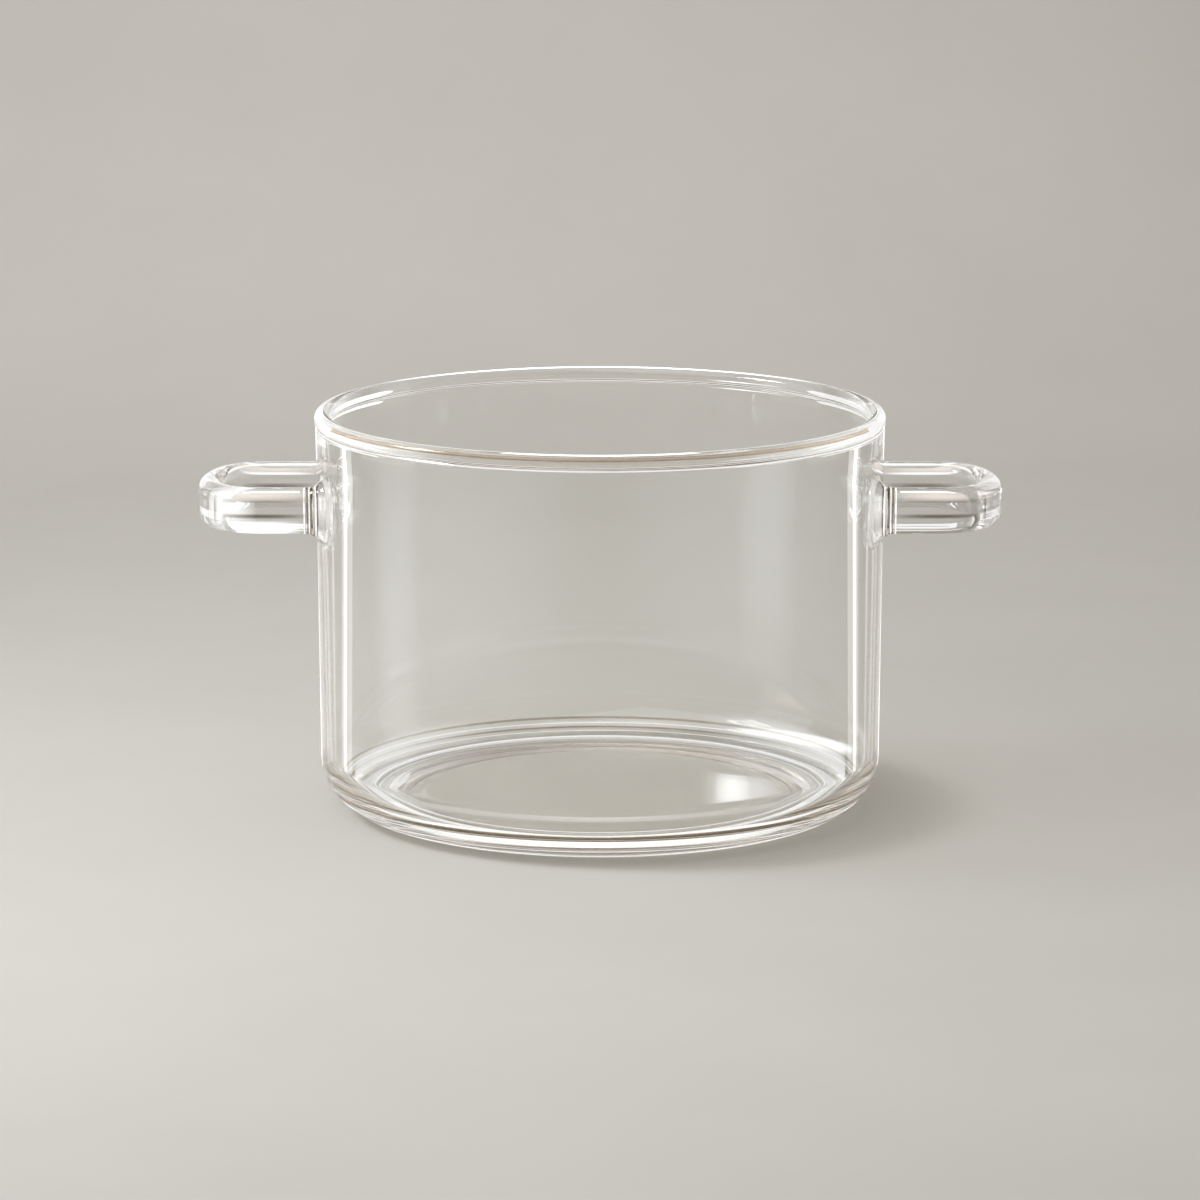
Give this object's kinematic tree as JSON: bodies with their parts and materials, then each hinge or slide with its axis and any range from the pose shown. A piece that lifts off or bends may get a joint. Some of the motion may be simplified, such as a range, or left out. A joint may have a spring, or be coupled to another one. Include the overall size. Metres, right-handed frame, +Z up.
{
  "type": "glass cooking pot",
  "caption": "Straight-sided clear glass cooking pot, open at the top, with a beaded rim, rounded heel and a welded loop handle on each side for lifting.",
  "frame": {"origin": "on the pot's axis, in the plane of the foot ring that it stands on", "axes": "+X through the right handle, +Y away from the viewer, +Z up the pot's axis"},
  "size_m": [0.2254, 0.16, 0.113],
  "materials": {
    "clear_glass": "clear, fire-polished"
  },
  "bodies": {
    "root": {"vessel": "clear_glass", "left_handle": "clear_glass", "right_handle": "clear_glass", "left_front_weld": "clear_glass", "left_rear_weld": "clear_glass", "right_front_weld": "clear_glass", "right_rear_weld": "clear_glass"}
  },
  "joints": []
}
